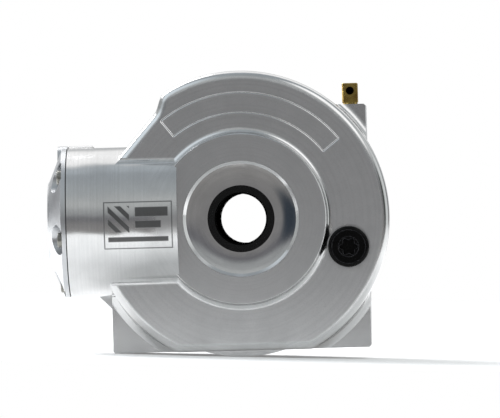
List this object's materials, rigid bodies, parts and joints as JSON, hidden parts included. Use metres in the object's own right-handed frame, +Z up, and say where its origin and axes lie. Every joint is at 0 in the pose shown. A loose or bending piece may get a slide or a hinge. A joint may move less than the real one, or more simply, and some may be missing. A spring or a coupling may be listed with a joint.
{
  "type": "right-angle gear drive",
  "caption": "Machined right-angle bevel gear drive with a round case, a bolted pinion snout and a hollow splined output spool.",
  "frame": {"origin": "crossing of the output axis and the pinion axis", "axes": "+X along the pinion axis away from the input, +Y along the output axis towards the rear cover, +Z up"},
  "size_m": [0.2396, 0.1343, 0.2005],
  "materials": {
    "machined_aluminium": "satin",
    "black_steel": "satin",
    "gear_steel": "satin",
    "bearing_steel": "polished",
    "zinc_steel": "satin",
    "seal_rubber": "satin",
    "gasket_fibre": "matte",
    "copper_washer": "satin",
    "brass": "satin"
  },
  "bodies": {
    "case": {"main_housing": "machined_aluminium", "rear_cover": "machined_aluminium", "rear_cover_gasket": "gasket_fibre", "rear_cover_screws": "black_steel", "cover_dowel_pins": "bearing_steel", "pinion_cap": "machined_aluminium", "pinion_cap_gasket": "gasket_fibre", "pinion_cap_screws": "zinc_steel", "front_bearing_outer_race": "bearing_steel", "rear_bearing_outer_race": "bearing_steel", "pinion_inner_bearing_outer_race": "bearing_steel", "pinion_outer_bearing_outer_race": "bearing_steel", "pinion_outer_spacer": "gear_steel", "pinion_shim": "gear_steel", "front_output_seal": "seal_rubber", "rear_output_seal": "seal_rubber", "pinion_seal": "seal_rubber", "fill_plug": "black_steel", "fill_plug_oring": "seal_rubber", "drain_plug": "black_steel", "drain_washer": "copper_washer", "vent_elbow": "brass"},
    "spool": {"axle_spool": "black_steel", "ring_gear": "gear_steel", "ring_gear_bolts": "black_steel", "front_bearing_inner_race": "bearing_steel", "rear_bearing_inner_race": "bearing_steel"},
    "pinion": {"pinion_shaft": "gear_steel", "pinion_nut": "gear_steel", "pinion_inner_bearing_inner_race": "bearing_steel", "pinion_outer_bearing_inner_race": "bearing_steel", "pinion_inner_spacer": "gear_steel"},
    "front_cage": {"front_bearing_balls": "bearing_steel"},
    "rear_cage": {"rear_bearing_balls": "bearing_steel"},
    "pinion_inner_cage": {"pinion_inner_bearing_balls": "bearing_steel"},
    "pinion_outer_cage": {"pinion_outer_bearing_balls": "bearing_steel"}
  },
  "joints": [
    {"name": "spool_spin", "type": "hinge", "parent": "case", "child": "spool", "pos_m": [0, 0, 0], "axis": [0, 1, 0], "continuous": true},
    {"name": "pinion_spin", "type": "hinge", "parent": "case", "child": "pinion", "pos_m": [0, 0, 0], "axis": [1, 0, 0], "continuous": true},
    {"name": "front_cage_spin", "type": "hinge", "parent": "case", "child": "front_cage", "pos_m": [0, 0, 0], "axis": [0, 1, 0], "continuous": true},
    {"name": "rear_cage_spin", "type": "hinge", "parent": "case", "child": "rear_cage", "pos_m": [0, 0, 0], "axis": [0, 1, 0], "continuous": true},
    {"name": "pinion_inner_cage_spin", "type": "hinge", "parent": "case", "child": "pinion_inner_cage", "pos_m": [0, 0, 0], "axis": [1, 0, 0], "continuous": true},
    {"name": "pinion_outer_cage_spin", "type": "hinge", "parent": "case", "child": "pinion_outer_cage", "pos_m": [0, 0, 0], "axis": [1, 0, 0], "continuous": true}
  ],
  "couplings": [
    {"joint": "pinion_spin", "follows": "spool_spin", "ratio": 3.0769},
    {"joint": "front_cage_spin", "follows": "spool_spin", "ratio": 0.4154},
    {"joint": "rear_cage_spin", "follows": "spool_spin", "ratio": 0.4154},
    {"joint": "pinion_inner_cage_spin", "follows": "spool_spin", "ratio": 1.2508},
    {"joint": "pinion_outer_cage_spin", "follows": "spool_spin", "ratio": 1.2508}
  ]
}
